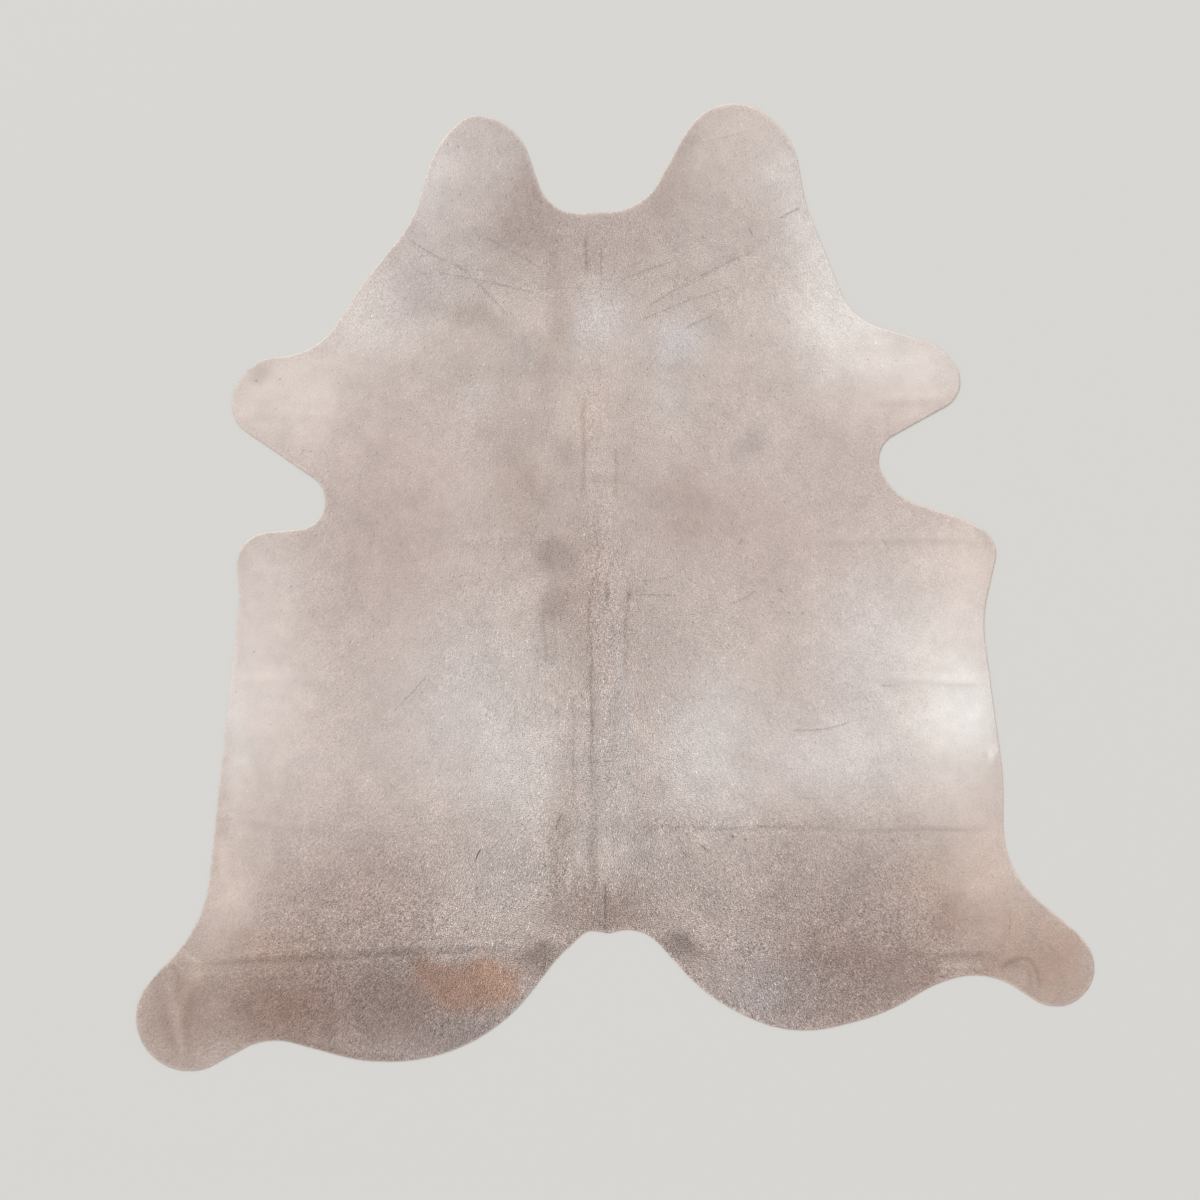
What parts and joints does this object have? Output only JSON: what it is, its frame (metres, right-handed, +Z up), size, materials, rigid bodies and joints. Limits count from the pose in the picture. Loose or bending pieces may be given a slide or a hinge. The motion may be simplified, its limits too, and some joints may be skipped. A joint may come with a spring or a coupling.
{
  "type": "cowhide rug",
  "caption": "Whole cowhide laid flat as a rug, hair side up, with the cut outline of cheeks, shanks, flanks and rump, soft packing folds and a flat underside.",
  "frame": {"origin": "middle of the hide's box, on the floor under its flat underside", "axes": "+Z up from the floor to the hair, +Y along the backbone to the neck, +X to the right as seen from above with the neck away"},
  "size_m": [1.9998, 2.0196, 0.0068],
  "materials": {
    "hair": "short grey-beige cow hair, lying flat, dull with a soft sheen"
  },
  "bodies": {
    "root": {"hide": "hair"}
  },
  "joints": []
}
